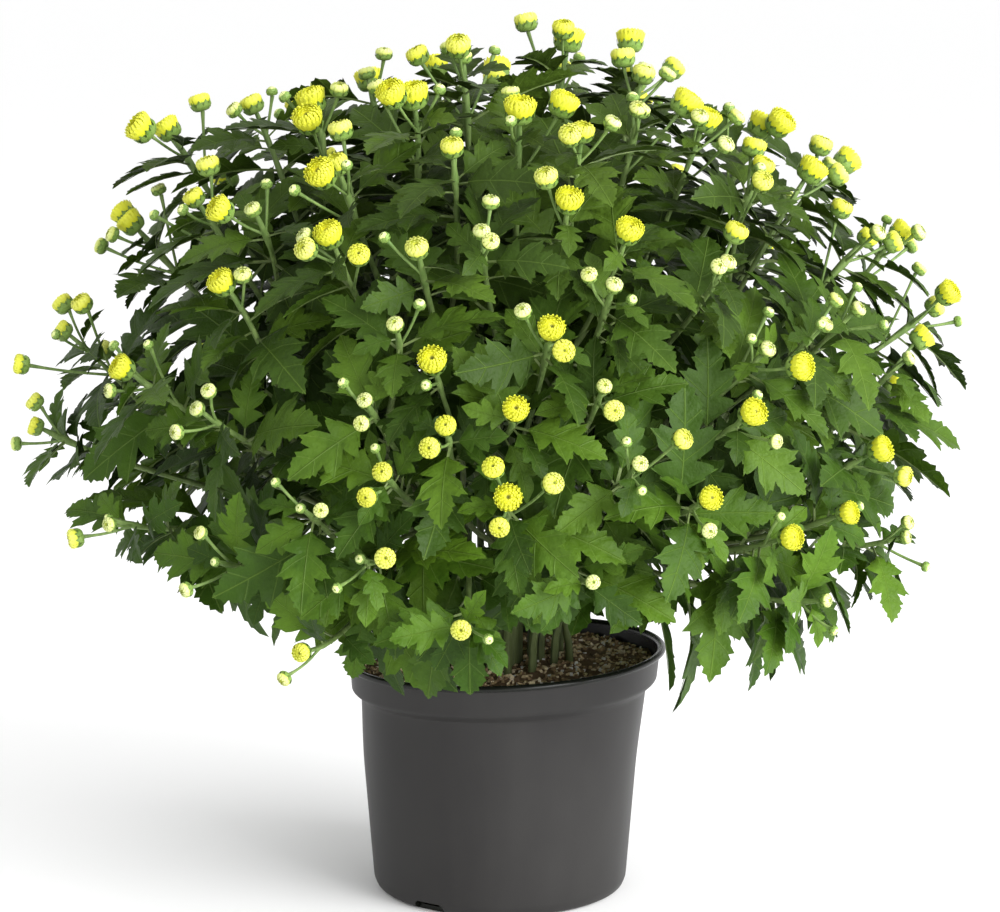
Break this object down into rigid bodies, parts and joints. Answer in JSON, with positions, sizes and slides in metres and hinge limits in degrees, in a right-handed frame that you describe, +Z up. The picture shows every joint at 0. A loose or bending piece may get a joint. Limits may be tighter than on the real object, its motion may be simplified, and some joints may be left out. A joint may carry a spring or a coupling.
{
  "type": "potted chrysanthemum",
  "caption": "Potted chrysanthemum: a dome of branching leafy stems with lobed leaves and small yellow button blooms in a round soft plastic nursery pot.",
  "frame": {"origin": "centre of the pot's flat base, on the surface that it stands on", "axes": "+Z up, -Y towards the front of the plant, +X to the right as the front is seen"},
  "size_m": [0.5529, 0.4988, 0.5158],
  "materials": {
    "pot": "satin",
    "soil": "matte",
    "plant": "satin"
  },
  "bodies": {
    "root": {"pot": "pot", "soil": "soil", "leafy_stem_01": "plant", "leafy_stem_02": "plant", "leafy_stem_03": "plant", "leafy_stem_04": "plant", "leafy_stem_05": "plant", "leafy_stem_06": "plant", "leafy_stem_07": "plant", "leafy_stem_08": "plant", "leafy_stem_09": "plant", "leafy_stem_10": "plant", "leafy_stem_11": "plant", "leafy_stem_12": "plant", "leafy_stem_13": "plant", "leafy_stem_14": "plant", "leafy_stem_15": "plant", "leafy_stem_16": "plant", "leafy_stem_17": "plant", "leafy_stem_18": "plant", "leafy_stem_19": "plant", "leafy_stem_20": "plant", "leafy_stem_21": "plant", "leafy_stem_22": "plant", "leafy_stem_23": "plant", "leafy_stem_24": "plant", "leafy_stem_25": "plant", "leafy_stem_26": "plant", "leafy_stem_27": "plant", "leafy_stem_28": "plant", "leafy_stem_29": "plant", "leafy_stem_30": "plant", "leafy_stem_31": "plant", "leafy_stem_32": "plant", "leafy_stem_33": "plant", "leafy_stem_34": "plant"}
  },
  "joints": []
}
